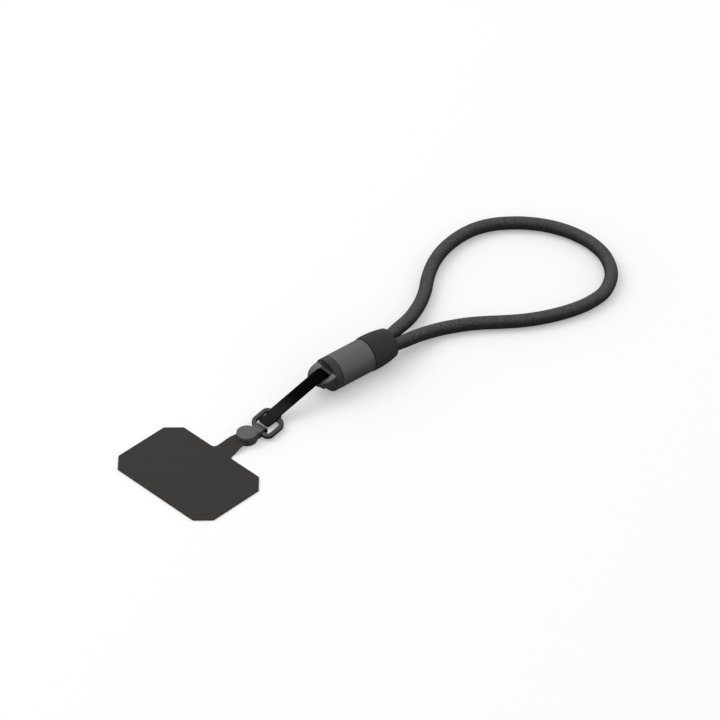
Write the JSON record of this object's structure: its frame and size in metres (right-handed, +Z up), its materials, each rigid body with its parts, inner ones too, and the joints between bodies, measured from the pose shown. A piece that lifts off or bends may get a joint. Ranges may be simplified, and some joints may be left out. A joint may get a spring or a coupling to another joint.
{
  "type": "phone_wrist_strap",
  "caption": "Phone wrist strap: thin tab for the phone case, metal clasp and wire link, flat band, metal and rubber barrel, and a round braided wrist cord, lying flat",
  "frame": {"origin": "centre of the underside of the box round all pieces but the cord, on the table", "axes": "+X from the tab to the wrist loop, +Y to the left of that, +Z up from the table"},
  "size_m": [0.2646, 0.0823, 0.0166],
  "materials": {
    "tab_sheet": "matte",
    "clasp_metal": "satin",
    "link_metal": "dark satin",
    "band_rubber": "smooth matte",
    "cap_metal": "dark satin anodised",
    "sleeve_metal": "satin",
    "boot_rubber": "matte",
    "cord_braid": "round braid"
  },
  "bodies": {
    "root": {"phone_tab": "tab_sheet", "clasp": "clasp_metal", "link_ring": "link_metal", "band": "band_rubber", "nose_cap": "cap_metal", "sleeve": "sleeve_metal", "boot": "boot_rubber", "wrist_cord": "cord_braid"}
  },
  "joints": []
}
